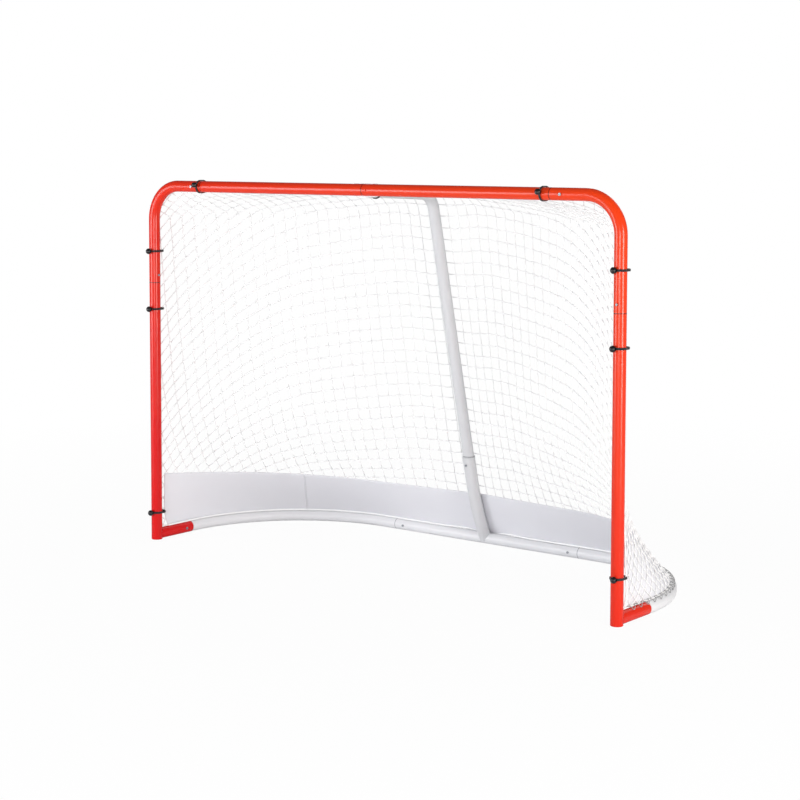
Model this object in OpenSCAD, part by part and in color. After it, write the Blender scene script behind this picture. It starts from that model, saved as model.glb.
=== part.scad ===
// Hockey goal net: a round red tube front frame, a white tube base and back
// strut joined by snap buttons, a knotted net held by ball ties, and a laced
// kick skirt around the base.

/* [Mouth] */
// clear width between the posts
mouth_w = 1829; // [1200:1:2400]
// clear height under the crossbar
mouth_h = 1219; // [800:1:1500]
// centreline radius of the two top corners
corner_r = 115; // [60:1:250]
// length of each corner bend's upright leg, under the bend
corner_rise = 220.05; // [150:0.05:500]
// length of each corner bend's level leg, past the bend
corner_leg = 118.5; // [90:0.5:300]

/* [Tube] */
// outer diameter of the frame tube
tube_d = 38.1; // [30:0.1:60]
// wall of the frame tube
tube_wall = 1.5; // [1:0.1:3]
// length of a necked-down end inside its mate
spigot_l = 60; // [45:1:90]
// radial clearance of a necked-down end in its mate
spigot_fit = 0.15; // [0.1:0.05:0.5]
// length of the neck behind each joint
neck_l = 14; // [8:1:30]

/* [Base] */
// depth from the post axis to the rear bar axis
base_depth = 672; // [500:1:900]
// centreline radius of the two rear corners
base_r = 490; // [250:1:600]
// straight length between each rear corner and its red foot
base_leg = 16; // [0:1:120]
// straight length between each rear corner and the rear bar
rear_leg = 58.55; // [20:0.05:200]

/* [Strut] */
// how far the strut foot's bend reaches back to the rear bar's axis
foot_reach = 85.9; // [70:0.1:160]
// drop of the top tube's axis at the crossbar
top_drop = 4; // [0:0.5:12]
// centreline radius of the bend behind the top tube
strut_r = 70; // [50:1:150]
// lean of the upper strut from upright
strut_lean = 13.5; // [10:0.5:16]
// height of the joint between strut and strut foot
strut_joint_z = 318; // [250:1:500]
// wall of the strut foot's sleeve
sleeve_wall = 2; // [1:0.1:4]
// straight length of the sleeve under the joint
sleeve_l = 74; // [66:1:110]
// length of strut inside the sleeve
strut_in = 60; // [45:1:64]

/* [Snap buttons] */
// diameter of a button
button_d = 7.5; // [5:0.1:10]
// diameter of the hole that a button stands in
button_hole_d = 8.1; // [5.6:0.1:11]
// height of a button over the tube
button_out = 3.5; // [2:0.1:5]
// distance from joint to button on the posts and strut
button_inset = 26; // [18:1:45]
// distance from joint to button on the rear bar
rear_inset = 37; // [18:1:45]
// distance from joint to button on the crossbar
bar_inset = 18; // [16:1:45]
// thickness of the spring strip
strip_t = 0.8; // [0.5:0.1:1.2]
// width of the spring strip
strip_w = 9; // [6:0.5:12]

/* [Ties] */
// diameter of the elastic cord
tie_d = 3.5; // [2:0.1:6]
// diameter of the ball on each tie
ball_d = 20; // [14:0.5:30]
// places of the left post's two upper ties, over its joint
left_ties = [109, -92];
// places of the right post's two upper ties, over its joint
right_ties = [123, -100];
// heights of the lowest ties, left and right
low_ties = [96, 139];
// places of the crossbar's ties, left and right, outwards from its joints
bar_ties = [12.95, -30.05];
// place of the tie on the top tube, behind the crossbar
top_tie_y = 57; // [40:1:120]

/* [Net and skirt] */
// thickness of the net's cords
net_t = 4; // [2:0.5:8]
// width of the net's cords
net_w = 7; // [3:0.5:12]
// columns of gaps in each half of the net
net_cols = 8; // [8:1:8]
// rows of gaps in each half of the net
net_rows = 16; // [16:1:16]
// thickness of the skirt
skirt_t = 1.6; // [0.8:0.1:4]
// height of the skirt's top edge
skirt_z = 208; // [120:1:300]
// height at which the net stops flaring towards the base
flare_z = 432; // [250:1:700]
// diameter of the lacing along the base
lace_d = 2.6; // [1.5:0.1:5]
// pitch of the lacing
lace_pitch = 62; // [30:1:120]
// clearance of the soft pieces
soft_gap = 0.3; // [0.2:0.1:1]

/* [Shown] */
// one sub-part by name, or all

/* [Hidden] */
$fn = 64;

RED = [0.86, 0.13, 0.06];
WHITE = [0.87, 0.88, 0.89];
STEEL = [0.62, 0.63, 0.65];
BLACK = [0.06, 0.06, 0.07];
CORD = [0.95, 0.95, 0.94];
CLOTH = [0.83, 0.84, 0.86];

cut = 1;                     // how far a cutter runs past what it cuts
seam = 0.1;                  // gap at a welded saddle
foot_seam = 0.4;             // and where a foot meets its post
tube_r = tube_d / 2;
bore_r = tube_r - tube_wall;
spig_ro = bore_r - spigot_fit;
spig_ri = spig_ro - tube_wall;
post_x = mouth_w / 2 + tube_r;
bar_z = mouth_h + tube_r;
mouth_y = tube_r - (base_depth + 2 * tube_r) / 2;  // centres the part on Y
cap_t = 4;
cap_round = 2;
cap_in = 12;

// ---- tube runs: straight and bent lengths along +Z, bending towards +X

module run(segs, r, i = 0)
  if (i < len(segs)) {
    s = segs[i];
    if (s[0] == "line") {
      cylinder(h = s[1], r = r);
      translate([0, 0, s[1]]) run(segs, r, i + 1);
    } else {
      translate([s[1], 0, 0]) rotate([-90, 0, 0]) rotate([0, 0, 180])
        rotate_extrude(angle = s[2]) translate([s[1], 0]) circle(r);
      past_bend(s) run(segs, r, i + 1);
    }
  }

module past_bend(s) translate([s[1], 0, 0]) rotate([0, s[2], 0])
  translate([-s[1], 0, 0]) children();

module at_end(segs, i = 0) {
  if (i == len(segs)) children();
  else if (segs[i][0] == "line")
    translate([0, 0, segs[i][1]]) at_end(segs, i + 1) children();
  else past_bend(segs[i]) at_end(segs, i + 1) children();
}

// a run whose first and last straight lengths are shortened by a and b
function trimmed(segs, a, b) = [for (i = [0:len(segs) - 1])
  segs[i][0] == "line"
    ? ["line", segs[i][1] - (i == 0 ? a : 0) - (i == len(segs) - 1 ? b : 0)]
    : segs[i]];

// tube with a necked-down spigot at its start, its end, both or neither
module tube(segs, neck_start = false, neck_end = false,
            ro = tube_r, ri = bore_r) {
  a = neck_start ? neck_l : -cut;
  b = neck_end ? neck_l : -cut;
  difference() {
    union() {
      run(segs, ro);
      if (neck_end) at_end(segs) spigot();
      if (neck_start) rotate([180, 0, 0]) spigot();
    }
    translate([0, 0, a]) run(trimmed(segs, a, b), ri);
    if (neck_end) at_end(segs) spigot_bore();
    if (neck_start) rotate([180, 0, 0]) spigot_bore();
  }
}

module spigot() {
  tip = 1;
  cylinder(h = spigot_l - tip, r = spig_ro);
  translate([0, 0, spigot_l - tip])
    cylinder(h = tip, r1 = spig_ro, r2 = spig_ro - tip / 2);
}

module spigot_bore()
  translate([0, 0, -neck_l - cut])
    cylinder(h = neck_l + spigot_l + 2 * cut, r = spig_ri);

module on_mouth() translate([0, mouth_y, 0]) children();

// side is -1 on the left and 1 on the right
module to_side(side) if (side > 0) mirror([1, 0, 0]) children(); else children();

// ---- red front frame

post_joint_z = bar_z - corner_r - corner_rise;
joint_x = post_x - corner_r - corner_leg;   // crossbar to corner joint
screw_in = 39;                              // from that joint to the corner screw
screw_x = joint_x + screw_in;
foot_l = base_depth - base_r - base_leg;    // each foot, from the post's axis
rear_half = post_x - base_r - rear_leg;     // half the rear bar

post_run = [["line", post_joint_z - cap_t]];
corner_run = [["line", corner_rise], ["bend", corner_r, 90], ["line", corner_leg]];

module post(side) color(RED) on_mouth() difference() {
  translate([side * post_x, 0, cap_t]) tube(post_run, neck_end = true);
  at_post_joint(side) button_hole(spig_ro);
}

module post_cap(side) color(RED) on_mouth() translate([side * post_x, 0, 0]) {
  rotate_extrude() {
    square([tube_r - cap_round, cap_t]);
    translate([0, cap_round]) square([tube_r, cap_t - cap_round]);
    translate([tube_r - cap_round, cap_round]) circle(cap_round);
  }
  translate([0, 0, cap_t]) cylinder(h = cap_in, r = bore_r - spigot_fit);
}

module foot(side) color(RED) on_mouth() difference() {
  lip = 3;
  translate([side * post_x, 0, tube_r]) rotate([-90, 0, 0])
    difference() {
      rotate_extrude() {
        square([tube_r, foot_l - lip]);
        square([tube_r - lip, foot_l]);
        translate([tube_r - lip, foot_l - lip]) circle(lip);
      }
      translate([0, 0, -cut]) cylinder(h = foot_l + 2 * cut, r = bore_r);
    }
  translate([side * post_x, 0, -cut])
    cylinder(h = tube_d + 2 * cut, r = tube_r + foot_seam);
  at_foot_screw(side) screw_hole();
}

module corner_bend(side) color(RED) on_mouth() difference() {
  to_side(side) translate([-post_x, 0, post_joint_z]) tube(corner_run);
  at_post_joint(side) button_hole(tube_r);
  at_corner_screw(side) screw_hole();
}

module crossbar(side) color(RED) on_mouth() difference() {
  to_side(side) translate([-joint_x, 0, bar_z]) rotate([0, 90, 0])
    tube([["line", joint_x]], neck_start = true, neck_end = side < 0);
  at_bar_joint() button_hole(side < 0 ? spig_ro : tube_r, inset = bar_inset);
  at_corner_screw(side) screw_hole();
  for (end = [-1, 1]) at_saddle_screw(end) screw_hole();
}

// ---- screws

screw_d = 4.8;
screw_hole_d = 5.0;
screw_l = 8;
head_d = 9.5;
head_h = 2.6;
head_gap = 0.05;
foot_screw_in = 36;                         // from the foot's end to its screw
foot_screw_y = foot_l - foot_screw_in;
saddle_x = 34;

// the screw's frame: +Z points out of the tube, zero at its surface
module at_corner_screw(side)
  translate([side * screw_x, -tube_r, bar_z]) rotate([90, 0, 0]) children();
module at_foot_screw(side)
  to_side(side) translate([-post_x + tube_r, foot_screw_y, tube_r])
    rotate([0, 90, 0]) children();
module at_saddle_screw(side)
  translate([side * saddle_x, tube_r, bar_z]) rotate([-90, 0, 0]) children();

module screw_hole() translate([0, 0, -screw_l - cut])
  cylinder(h = screw_l + 2 * cut + saddle_t, d = screw_hole_d);

// pan head with its rim resting lift above the tube
module screw(lift) {
  translate([0, 0, -screw_l]) cylinder(h = screw_l + lift + cut / 2, d = screw_d);
  translate([0, 0, lift]) intersection() {
    cylinder(h = head_h, d = head_d);
    translate([0, 0, head_h - head_d]) sphere(head_d);
  }
}

module corner_screws() color(STEEL) on_mouth()
  for (side = [-1, 1]) at_corner_screw(side) screw(lift = head_gap);
module foot_screws() color(STEEL) on_mouth()
  for (side = [-1, 1]) at_foot_screw(side) screw(lift = head_gap);
module saddle_screws() color(STEEL) on_mouth()
  for (side = [-1, 1]) at_saddle_screw(side)
    screw(lift = saddle_t + saddle_gap + head_gap);

// ---- top tube, strut and strut foot

top_start_z = bar_z - top_drop;
top_start = 12;                      // the top tube's square end, before its cope
strut_turn = acos(0.28);             // its cosine and sine are short decimals
top_fall = 90 - strut_lean - strut_turn;
knee = [base_depth - foot_reach, strut_joint_z - sleeve_l * cos(strut_lean)];  // sleeve's straight end
// the point where the axes of the top tube and the strut cross
strut_top_y = (knee[0] - (top_start_z - knee[1]) * tan(strut_lean)) / (1 - tan(top_fall) * tan(strut_lean));
strut_top_z = top_start_z - strut_top_y * tan(top_fall);
bend_cut = strut_r * tan(strut_turn / 2);
top_l = strut_top_y / cos(top_fall) - bend_cut;
strut_l = (strut_top_z - strut_joint_z) / cos(strut_lean) - bend_cut;
sleeve_ri = tube_r + spigot_fit;
sleeve_r = sleeve_ri + sleeve_wall;
joint_y = knee[0] - sleeve_l * sin(strut_lean);

// the sleeve's bend, from its straight end to the rear bar's axis
knee_to_bar = [foot_reach, knee[1] - tube_r];
foot_turn = 2 * (atan2(knee_to_bar[0], knee_to_bar[1]) - strut_lean);
foot_r = norm(knee_to_bar) / (2 * sin(foot_turn / 2));

top_run = [["line", top_l - top_start], ["bend", strut_r, strut_turn],
  ["line", strut_l + strut_in]];
foot_run = [["line", sleeve_l], ["bend", foot_r, foot_turn]];

module at_top_tube() translate([0, 0, top_start_z])
  rotate([-90 - top_fall, 0, 0]) rotate([0, 0, 90]) children();
module at_strut_joint() translate([0, joint_y, strut_joint_z])
  rotate([180 + strut_lean, 0, 0]) children();

saddle_t = 2.5;
saddle_gap = 0.1;
saddle_ri = tube_r + saddle_gap;
saddle_l = 92;

module top_saddle() color(WHITE) on_mouth() difference() {
  translate([-saddle_l / 2, 0, bar_z]) rotate([90, 0, 90]) difference() {
    cylinder(h = saddle_l, r = saddle_ri + saddle_t);
    translate([0, 0, -cut]) cylinder(h = saddle_l + 2 * cut, r = saddle_ri);
    translate([-2 * tube_d + 4, -tube_d, -cut]) cube([2 * tube_d, 2 * tube_d, saddle_l + 2 * cut]);
  }
  for (side = [-1, 1]) at_saddle_screw(side) screw_hole();
}

module top_strut() color(WHITE) on_mouth() difference() {
  at_top_tube() translate([0, 0, top_start]) tube(top_run);
  translate([-tube_d, 0, bar_z]) rotate([0, 90, 0])
    cylinder(h = 2 * tube_d, r = saddle_ri + saddle_t + seam);
  at_strut_joint() rotate([0, 0, 90]) button_hole(tube_r, inset = button_inset);
}

module strut_foot() color(WHITE) on_mouth() difference() {
  at_strut_joint() rotate([0, 0, -90]) difference() {
    run(foot_run, sleeve_r);
    translate([0, 0, -cut]) cylinder(h = cut, r = sleeve_ri);
    run(foot_run, sleeve_ri);
  }
  translate([-tube_d, base_depth, tube_r]) rotate([0, 90, 0])
    cylinder(h = 2 * tube_d, r = tube_r + seam);
  at_strut_joint() rotate([0, 0, 90]) button_hole(sleeve_r, inset = button_inset);
}

// ---- white base

base_run = [["line", base_leg], ["bend", base_r, 90], ["line", rear_leg]];

module base_bend(side) color(WHITE) on_mouth() difference() {
  to_side(side) translate([-post_x, foot_l, tube_r]) rotate([-90, 0, 0])
    tube(base_run, neck_start = true, neck_end = true);
  at_base_joint(side) button_hole(spig_ro, inset = rear_inset);
  at_foot_screw(side) screw_hole();
}

module rear_bar() color(WHITE) on_mouth() difference() {
  translate([-rear_half, base_depth, tube_r]) rotate([0, 90, 0])
    tube([["line", 2 * rear_half]]);
  for (side = [-1, 1]) at_base_joint(side) button_hole(tube_r, inset = rear_inset);
}

// ---- snap buttons: +Z runs into the outer tube, +X is the button's way out

module at_post_joint(side)
  translate([side * post_x, 0, post_joint_z]) rotate([0, 0, side < 0 ? 0 : -90]) children();
module at_bar_joint()
  translate([0, 0, bar_z]) rotate([-90, 0, 0]) rotate([0, 90, 0]) children();
module at_base_joint(side) to_side(side)
  translate([-rear_half, base_depth, tube_r]) rotate([-90, 0, 0]) rotate([0, 90, 0]) children();

module button_hole(r, inset = button_inset) translate([0, 0, inset]) rotate([0, 90, 0])
  cylinder(h = r + button_out + cut, d = button_hole_d);

arm_in = 1.3;
arm_x = spig_ri - arm_in;    // outer face of the arm that carries the button
arm_long = 28;         // arm behind the button
arm_tip = 7;           // arm ahead of the button
bend_gap = 0.3;

module snap_button(r_out, inset) translate([0, 0, inset]) {
  translate([arm_x - strip_t, -strip_w / 2, -arm_long])
    cube([strip_t, strip_w, arm_long + arm_tip]);
  dome = 0.6;
  rotate([0, 90, 0]) {
    translate([0, 0, arm_x - strip_t / 2])
      cylinder(h = r_out + button_out - dome - arm_x + strip_t / 2, d = button_d);
    translate([0, 0, r_out + button_out - dome])
      cylinder(h = dome, d1 = button_d, d2 = button_d - 4 * dome);
  }
}

// the still half of the strip: the far arm and the bend up to the button's arm
module snap_spring(r_bore, inset) translate([0, 0, inset - arm_long - bend_gap]) {
  back_x = -sqrt(r_bore * r_bore - strip_w * strip_w / 4) + 0.25;
  mid = (arm_x + back_x) / 2;
  bend = (arm_x - back_x) / 2;
  translate([back_x, -strip_w / 2, 0])
    cube([strip_t, strip_w, arm_long + arm_tip + bend_gap]);
  translate([mid, strip_w / 2, 0]) rotate([90, 0, 0]) linear_extrude(strip_w)
    difference() {
      circle(bend);
      circle(bend - strip_t);
      translate([-2 * bend, 0]) square([4 * bend, 2 * bend]);
    }
}

module post_button(side) color(STEEL) on_mouth() at_post_joint(side)
  snap_button(tube_r, button_inset);
module post_spring(side) color(STEEL) on_mouth() at_post_joint(side)
  snap_spring(spig_ri, button_inset);
module crossbar_button() color(STEEL) on_mouth() at_bar_joint() snap_button(tube_r, bar_inset);
module crossbar_spring() color(STEEL) on_mouth() at_bar_joint() snap_spring(spig_ri, bar_inset);
module strut_button() color(STEEL) on_mouth() at_strut_joint() rotate([0, 0, 90])
  snap_button(sleeve_r, button_inset);
module strut_spring() color(STEEL) on_mouth() at_strut_joint() rotate([0, 0, 90])
  snap_spring(bore_r, button_inset);
module base_button(side) color(STEEL) on_mouth() at_base_joint(side)
  snap_button(tube_r, rear_inset);
module base_spring(side) color(STEEL) on_mouth() at_base_joint(side)
  snap_spring(spig_ri, rear_inset);

// ---- ball ties: two strands round a tube along Z and the net's edge towards +Y

loop_r = tube_r + soft_gap + tie_d / 2;

module strand(reach) {
  rotate([0, 0, 180]) rotate_extrude(angle = 180) translate([loop_r, 0]) circle(d = tie_d);
  translate([0, reach, 0]) rotate_extrude(angle = 180) translate([loop_r, 0]) circle(d = tie_d);
  for (x = [-loop_r, loop_r]) translate([x, 0, 0]) rotate([-90, 0, 0])
    cylinder(h = reach, d = tie_d);
}

module ball_tie(reach, ball_turn, turn = 0) color(BLACK) {
  for (k = [-1, 1]) translate([0, 0, k * (tie_d + seam) / 2]) rotate([0, 0, turn]) strand(reach);
  rotate([0, 0, ball_turn])
    translate([0, -(tube_r + soft_gap + ball_d / 2), 0]) sphere(d = ball_d);
}

tie_reach = 12;
low_reach = 20;        // the lowest ties follow the net's edge outwards
low_turn = 40;
top_reach = 8;
module post_tie(side, z, reach = tie_reach, turn = 0) on_mouth() translate([side * post_x, 0, z])
  ball_tie(reach, side < 0 ? 0 : -12, -side * turn);
module bar_tie(x) on_mouth() translate([x, 0, bar_z]) rotate([0, 90, 0])
  ball_tie(tie_reach, -12);
module tie_top_tube() on_mouth()
  translate([0, top_tie_y, top_start_z - top_tie_y * tan(top_fall)])
    rotate([-top_fall, 0, 0]) rotate([-90, 0, 0]) rotate([0, 0, 180])
      ball_tie(top_reach, 0);

// ---- the net's surface: rows from the ridge (s = 0) to the post (s = 1),
//      columns from the crossbar (t = 0) to the base (t = 1)

function mix(a, b, u) = a + (b - a) * u;
function ease(u) = let (v = min(max(u, 0), 1)) v * v * (3 - 2 * v);

lay = tube_r + soft_gap + net_t / 2;         // net's middle over a bare tube
half_run = post_x - base_r + base_r * PI / 2 + base_depth - base_r;
knot_step = half_run / net_cols;             // knots along the base
net_sag = knot_step * knot_step / (8 * base_r);  // a straight length cuts the bend
hem_gap = 0.6;                               // the skirt's hem off the base tube
lay_base = lay + skirt_t + hem_gap + net_sag;    // net's middle over the skirt
base_lay_z = tube_r + lay_base * sin(wrap(0));
row_dip = 1.6;                               // how far a row dips beside the strut
sleeve_lay = sleeve_r + soft_gap + net_t / 2;
t_roof = 0.25;                               // share of the rows on the roof
roof_y = 45;                                 // where the net starts on the top tube
roof_drop = 108.05;                          // last roof row at the post, under the crossbar
roof_post_z = bar_z - roof_drop;
side_step = 4;                               // net's edge out from the post's axis
edge_y = sqrt(pow(lay + 0.2, 2) - side_step * side_step);

// ridge: along the top tube, round the bend and down the strut
bend_y = strut_top_y - bend_cut * cos(top_fall) - strut_r * sin(top_fall);
bend_z = strut_top_z + bend_cut * sin(top_fall) - strut_r * cos(top_fall);
roof_l = (bend_y - roof_y) / cos(top_fall);
roof_r = (strut_r + lay) / cos(strut_turn / 4);  // two straight lengths clear the bend
roof_lift = roof_r - strut_r - lay;
function ridge_roof(u) = u < 0.5
  ? let (d = 2 * u * roof_l, over = lay + row_dip + 4 * u * u * (roof_lift - row_dip))
    [0, roof_y + d * cos(top_fall) + over * sin(top_fall),
     top_start_z - roof_y * tan(top_fall) - d * sin(top_fall) + over * cos(top_fall)]
  : let (a = top_fall + (2 * u - 1) * strut_turn)
    [0, bend_y + roof_r * sin(a), bend_z + roof_r * cos(a)];
ridge_z = bend_z + roof_r * sin(strut_lean);
foot_c = [knee[0] + foot_r * cos(strut_lean), knee[1] + foot_r * sin(strut_lean)];
function ridge_lay(z) = row_dip
  + mix(skirt_t + soft_gap + net_sag, 0, ease((z - skirt_z - 10) / 90))
  + mix(sleeve_lay, lay, ease((z - strut_joint_z - 5) / 60))
  + (roof_lift - row_dip) * ease(1 - (ridge_z - z) / 90);
function ridge_y(z) = z > knee[1] + ridge_lay(z) * sin(strut_lean)
  ? strut_top_y + (strut_top_z - z) * tan(strut_lean) + ridge_lay(z) / cos(strut_lean)
  : foot_c[0] - sqrt(pow(foot_r - ridge_lay(z), 2) - pow(z - foot_c[1], 2));
function ridge(t) = t <= t_roof ? ridge_roof(t / t_roof)
  : let (z = mix(ridge_z, base_lay_z, (t - t_roof) / (1 - t_roof))) [0, ridge_y(z), z];

// post edge, from the middle of the corner bend to the base
corner_mid = [post_x - corner_r * (1 - cos(45)), bar_z - corner_r * (1 - cos(45))];
function post_edge(t) = t <= t_roof
  ? let (u = t / t_roof) [mix(corner_mid[0] + side_step * 0.7, post_x + side_step, pow(u, 0.5)), edge_y,
      mix(corner_mid[1] + side_step * 0.7, roof_post_z, u)]
  : [post_x + side_step, edge_y, mix(roof_post_z, base_lay_z, (t - t_roof) / (1 - t_roof))];

// the point that pulls each row into its curve
function pull(t) = let (r = ridge(t), p = post_edge(t),
    u = min(t / t_roof, 1), v = 1 - pow(1 - max(t - t_roof, 0) / (1 - t_roof), 2))
  [mix(mix(0.5, 0.643, u), 0.75, v) * post_x,
   mix(mix(edge_y, 1.05 * r[1], u), 0.64 * r[1], v),
   mix(r[2], p[2], mix(0.5, 0.35, u))];
function row(s, t) = let (a = ridge(t), b = pull(t), c = post_edge(t))
  pow(1 - s, 2) * a + 2 * s * (1 - s) * b + s * s * c;

// where the net's top edge really lies: behind the crossbar and its bend
function top_edge(s) = let (straight = post_x - corner_r, arc = corner_r * PI / 4,
    d = s * (straight + arc), a = max(d - straight, 0) / corner_r * 180 / PI,
    up = ease(d / 150), r = ridge(0))
  [min(d, straight) + (corner_r + side_step) * sin(a), mix(r[1], edge_y, up),
   mix(r[2], bar_z + side_step, up) - (corner_r + side_step) * (1 - cos(a))];

// where its bottom edge really lies: outside the base tube, at the angle w and
// the radius r over its axis
side_end = 25;
edge_run = half_run - side_end;
bulge_gap = 0.85;
foot_bulge = sleeve_r - tube_r + bulge_gap;   // how far the strut foot pushes its middle knot back
function bulge(s) = [0, foot_bulge * max(1 - s * net_cols, 0), 0];
function wrap(s) = mix(27, 8, s) + 38 * sin(180 * s);
function off_base(s, w, r) = let (d = s * edge_run, flat = post_x - base_r,
    a = min(max(d - flat, 0) / base_r * 180 / PI, 90))
  [min(d, flat) + (base_r + r * cos(w)) * sin(a),
   base_depth - base_r + (base_r + r * cos(w)) * cos(a) - max(d - flat - base_r * PI / 2, 0),
   tube_r + r * sin(w)];
function base_edge(s) = off_base(s, wrap(s), lay_base) + bulge(s);

function net_point(s, t) = let (p = row(s, t),
    low = max(1 - (p[2] - base_lay_z) / (flare_z - base_lay_z), 0),
    high = max(1 - t / t_roof, 0))
  p + low * low * (base_edge(s) - row(s, 1)) + high * high * (top_edge(s) - row(s, 0));

function unit(v) = v / norm(v);
step = 0.002;
function net_normal(s, t) = let (s0 = min(s, 1 - step), t0 = min(t, 1 - step),
    n = cross(net_point(s0 + step, t0) - net_point(s0, t0),
              net_point(s0, t0 + step) - net_point(s0, t0)))
  unit(s < step ? [0, n[1], n[2]] : n);

// one panel of the net, columns i0 to i1 and rows j0 to j1, with its gaps
panel_gap = 0.4;
module net_panel(i0, i1, j0, j1) {
  ni = i1 - i0;
  nj = j1 - j0;
  wide = 1150 / net_cols;
  tall = 1500 / net_rows;
  es = panel_gap / 2 / wide / net_cols;
  et = panel_gap / 2 / tall / net_rows;
  function su(i) = i / net_cols + (i == i0 ? es : 0) - (i == i1 && i1 < net_cols ? es : 0);
  function tv(j) = j / net_rows + (j == j0 && j0 > 0 ? et : 0) - (j == j1 && j1 < net_rows ? et : 0);
  hs = net_w / 2 / wide / net_cols;
  ht = net_w / 2 / tall / net_rows;
  places = concat(
    [for (j = [j0:j1], i = [i0:i1]) [su(i), tv(j)]],
    [for (j = [j0:j1 - 1], i = [i0:i1 - 1], c = [[1, 1, 0, 0], [-1, 1, 1, 0], [-1, -1, 1, 1], [1, -1, 0, 1]])
      [(i + c[2]) / net_cols + c[0] * hs, (j + c[3]) / net_rows + c[1] * ht]]);
  n = len(places);
  pts = concat(
    [for (q = places) net_point(q[0], q[1]) + net_t / 2 * net_normal(q[0], q[1])],
    [for (q = places) net_point(q[0], q[1]) - net_t / 2 * net_normal(q[0], q[1])]);
  function knot(i, j) = j * (ni + 1) + i;
  function hole(i, j, c) = (ni + 1) * (nj + 1) + 4 * (j * ni + i) + c % 4;
  function ring(i, j) = [knot(i, j), knot(i + 1, j), knot(i + 1, j + 1), knot(i, j + 1)];
  function quad(a, b, c, d) = [[a, b, c], [a, c, d]];
  rim = concat([for (i = [0:ni - 1]) [knot(i, 0), knot(i + 1, 0)]],
    [for (j = [0:nj - 1]) [knot(ni, j), knot(ni, j + 1)]],
    [for (i = [0:ni - 1]) [knot(ni - i, nj), knot(ni - i - 1, nj)]],
    [for (j = [0:nj - 1]) [knot(0, nj - j), knot(0, nj - j - 1)]]);
  faces = concat(
    [for (j = [0:nj - 1], i = [0:ni - 1], c = [0:3]) let (k = ring(i, j))
      each quad(k[c], hole(i, j, c), hole(i, j, c + 1), k[(c + 1) % 4])],
    [for (j = [0:nj - 1], i = [0:ni - 1], c = [0:3]) let (k = ring(i, j))
      each quad(n + k[c], n + k[(c + 1) % 4], n + hole(i, j, c + 1), n + hole(i, j, c))],
    [for (j = [0:nj - 1], i = [0:ni - 1], c = [0:3])
      each quad(hole(i, j, c), n + hole(i, j, c), n + hole(i, j, c + 1), hole(i, j, c + 1))],
    [for (e = rim) each quad(e[0], e[1], n + e[1], n + e[0])]);
  polyhedron(pts, faces);
}

// near-flat panels, so that the goal stays open inside
roof_rows = net_rows * t_roof;
flare_rows = net_rows / 4;
col_cuts = [0, 3, 6, net_cols];
row_cuts = [roof_rows, net_rows - flare_rows, net_rows];
module net_roof(side) color(CORD) on_mouth() to_side(-side)
  for (k = [0:2]) net_panel(col_cuts[k], col_cuts[k + 1], 0, roof_rows);
module net_back(side) color(CORD) on_mouth() to_side(-side)
  for (k = [0:2], m = [0:1]) net_panel(col_cuts[k], col_cuts[k + 1], row_cuts[m], row_cuts[m + 1]);

// ---- skirt: a cloth band inside the net, its bottom hem on the base tube

skirt_in = net_t / 2 + soft_gap + skirt_t / 2 + net_sag;
function t_of_z(z) = t_roof + (1 - t_roof) * (ridge_z - z) / (ridge_z - base_lay_z);
module skirt_band(s0, s1, cols, rows) {
  t0 = t_of_z(skirt_z);
  pts = [for (k = [-1, 1], j = [0:rows], i = [0:cols])
    let (s = mix(s0, s1, i / cols), t = mix(t0, 1, j / rows), m = abs(s), g = sign(s),
         p = net_point(m, t) - (skirt_in + k * skirt_t / 2) * net_normal(m, t))
      [g * p[0], p[1], p[2]]];
  n = (rows + 1) * (cols + 1);
  function at(i, j) = j * (cols + 1) + i;
  function quad(a, b, c, d) = [[a, b, c], [a, c, d]];
  rim = concat([for (i = [0:cols - 1]) [at(i, 0), at(i + 1, 0)]],
    [for (j = [0:rows - 1]) [at(cols, j), at(cols, j + 1)]],
    [for (i = [0:cols - 1]) [at(cols - i, rows), at(cols - i - 1, rows)]],
    [for (j = [0:rows - 1]) [at(0, rows - j), at(0, rows - j - 1)]]);
  polyhedron(pts, concat(
    [for (j = [0:rows - 1], i = [0:cols - 1])
      each quad(n + at(i, j), n + at(i + 1, j), n + at(i + 1, j + 1), n + at(i, j + 1))],
    [for (j = [0:rows - 1], i = [0:cols - 1])
      each quad(at(i, j), at(i, j + 1), at(i + 1, j + 1), at(i + 1, j))],
    [for (e = rim) each quad(e[0], e[1], n + e[1], n + e[0])]));
}

seam_s = 0.34;         // the seams between the skirt's three lengths
end_s = 0.985;         // the skirt's ends at the posts
module skirt_rear() color(CLOTH) on_mouth() skirt_band(-seam_s, seam_s, 20, 4);
module skirt_side(side) color(CLOTH) on_mouth() to_side(-side)
  skirt_band(seam_s + 0.0005, end_s, 20, 4);

// ---- lacing: one cord that zigzags over the net's bottom edge and the tube

lace_high = lay_base + net_t / 2 + 3;            // radius of its upper turns
lace_out = 4.25;                                 // its lower turns off the base tube
lace_low = [-22, tube_r + lace_out];             // angle and radius of its lower turns
lace_end = 60;                                   // where it stops short of the posts
module base_lacing() color(CORD) on_mouth() {
  n = floor(2 * (edge_run - lace_end) / lace_pitch);
  pts = [for (i = [0:2 * n]) let (s = (i / n - 1) * (1 - lace_end / edge_run), m = abs(s),
      w = i % 2 == 0 ? off_base(m, wrap(m), lace_high) + bulge(m)
        : off_base(m, lace_low[0], lace_low[1]))
    [sign(s) * w[0], w[1], w[2]]];
  cord(pts, lace_d, 6);
}

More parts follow.
